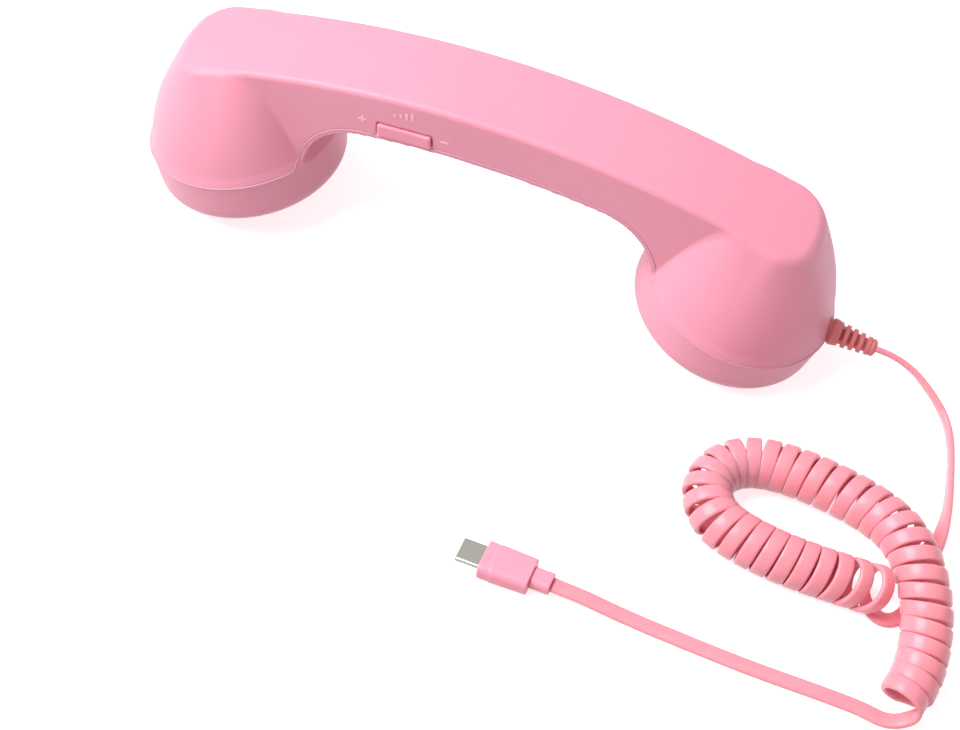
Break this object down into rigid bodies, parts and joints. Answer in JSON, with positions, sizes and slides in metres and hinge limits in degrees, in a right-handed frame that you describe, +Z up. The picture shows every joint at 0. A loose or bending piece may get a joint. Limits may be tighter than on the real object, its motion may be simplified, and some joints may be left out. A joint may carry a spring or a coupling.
{
  "type": "corded telephone handset",
  "caption": "Retro telephone handset with an arched handle, two round cups, a volume rocker, a call button and a curly cord that ends in a small plug.",
  "frame": {"origin": "on the table under the middle of the handset, without its cord", "axes": "+X along the handset towards the mouthpiece and the cord, -Y towards the volume key, +Z up"},
  "size_m": [0.2649, 0.1414, 0.064],
  "materials": {
    "shell_pink": "satin moulded pink ABS with a fine even texture",
    "key_pink": "satin moulded pink ABS",
    "cord_pink": "soft satin pink PVC",
    "boot_rose": "matt rose PVC",
    "plug_pink": "soft pink PVC overmould",
    "nickel": "nickel plate",
    "steel": "plain steel",
    "zinc": "zinc-plated screws",
    "aluminium_can": "drawn aluminium",
    "black_plastic": "matt black moulding",
    "black_rubber": "soft black rubber",
    "ivory_plastic": "ivory nylon",
    "circuit_board": "green solder mask",
    "copper": "copper winding and part ends",
    "foam_tape": "closed-cell foam",
    "felt": "grey felt",
    "wire_red": "PVC insulation",
    "wire_black": "PVC insulation",
    "wire_white": "PVC insulation"
  },
  "bodies": {
    "handset": {"outer_shell": "shell_pink", "inner_shell": "shell_pink", "shell_screws": "zinc", "rocker_pin": "steel", "plus_switch": "black_plastic", "minus_switch": "black_plastic", "call_switch": "black_plastic", "control_board": "circuit_board", "board_screws": "zinc", "audio_chip": "black_plastic", "board_parts": "copper", "wire_connectors": "ivory_plastic", "handle_weight": "steel", "weight_tape": "foam_tape", "speaker_felt": "felt", "speaker_gasket": "foam_tape", "speaker_basket": "steel", "speaker_diaphragm": "ivory_plastic", "speaker_voice_coil": "copper", "speaker_magnet": "steel", "speaker_retainer": "black_plastic", "retainer_screws": "zinc", "microphone_felt": "felt", "microphone_holder": "black_rubber", "microphone_capsule": "aluminium_can", "speaker_wires": "wire_red", "microphone_wires": "wire_black", "cord_wires": "wire_white", "cord_tail": "cord_pink", "cord_clamp": "black_plastic", "clamp_screws": "zinc", "strain_relief_boot": "boot_rose", "cord_lead_handset": "cord_pink", "cord_coil": "cord_pink", "cord_lead_plug": "cord_pink", "plug_grip": "plug_pink", "plug_collar": "plug_pink", "plug_shell": "nickel", "plug_tongue": "black_plastic"},
    "volume_rocker": {"volume_rocker": "key_pink"},
    "plus_plunger": {"plus_plunger": "ivory_plastic"},
    "minus_plunger": {"minus_plunger": "ivory_plastic"},
    "call_button": {"call_button": "key_pink"},
    "call_plunger": {"call_plunger": "ivory_plastic"}
  },
  "joints": [
    {"name": "volume_rock", "type": "hinge", "parent": "handset", "child": "volume_rocker", "pos_m": [-0.02263, -0.0106, 0.0506], "axis": [-0.0656, 0, 0.9978], "range_deg": [-3, 3], "stiffness_Nm_per_rad": 0.2},
    {"name": "plus_travel", "type": "slide", "parent": "handset", "child": "plus_plunger", "axis": [0, 1, 0], "range_m": [-0.00027, 0.00027]},
    {"name": "minus_travel", "type": "slide", "parent": "handset", "child": "minus_plunger", "axis": [0, 1, 0], "range_m": [-0.00027, 0.00027]},
    {"name": "call_press", "type": "slide", "parent": "handset", "child": "call_button", "axis": [-0.0656, 0, 0.9978], "range_m": [0, 0.0003], "stiffness_N_per_m": 1500},
    {"name": "call_travel", "type": "slide", "parent": "handset", "child": "call_plunger", "axis": [-0.0656, 0, 0.9978], "range_m": [0, 0.0003]}
  ],
  "couplings": [
    {"joint": "plus_travel", "follows": "volume_rock", "m_per_rad": -0.005},
    {"joint": "minus_travel", "follows": "volume_rock", "m_per_rad": 0.005},
    {"joint": "call_travel", "follows": "call_press", "ratio": 1}
  ]
}
